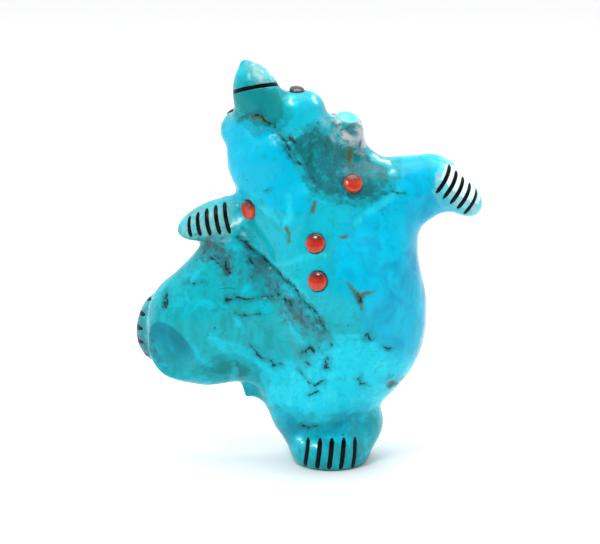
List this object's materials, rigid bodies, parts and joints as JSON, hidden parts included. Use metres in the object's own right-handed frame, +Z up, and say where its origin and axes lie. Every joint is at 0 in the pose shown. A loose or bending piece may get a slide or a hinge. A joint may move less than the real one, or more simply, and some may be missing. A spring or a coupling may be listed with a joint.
{
  "type": "stone bear carving",
  "caption": "Small carved turquoise dancing bear standing on one foot, head thrown back, with inlaid coral and jet dots.",
  "frame": {"origin": "on the ground, in the middle of the flat sole of the standing foot", "axes": "+Z up through the figure, the belly faces -Y, the raised leg is on the -X side"},
  "size_m": [0.0425, 0.019, 0.0496],
  "materials": {
    "turquoise": "polished, with brown and grey matrix",
    "coral": "polished",
    "jet": "polished",
    "pale_turquoise": "polished"
  },
  "bodies": {
    "root": {"bear": "turquoise", "coral_dot_left_chest": "coral", "coral_dot_right_chest": "coral", "coral_dot_upper_belly": "coral", "coral_dot_lower_belly": "coral", "jet_eye_right": "jet", "jet_eye_left": "jet", "turquoise_crown": "pale_turquoise"}
  },
  "joints": []
}
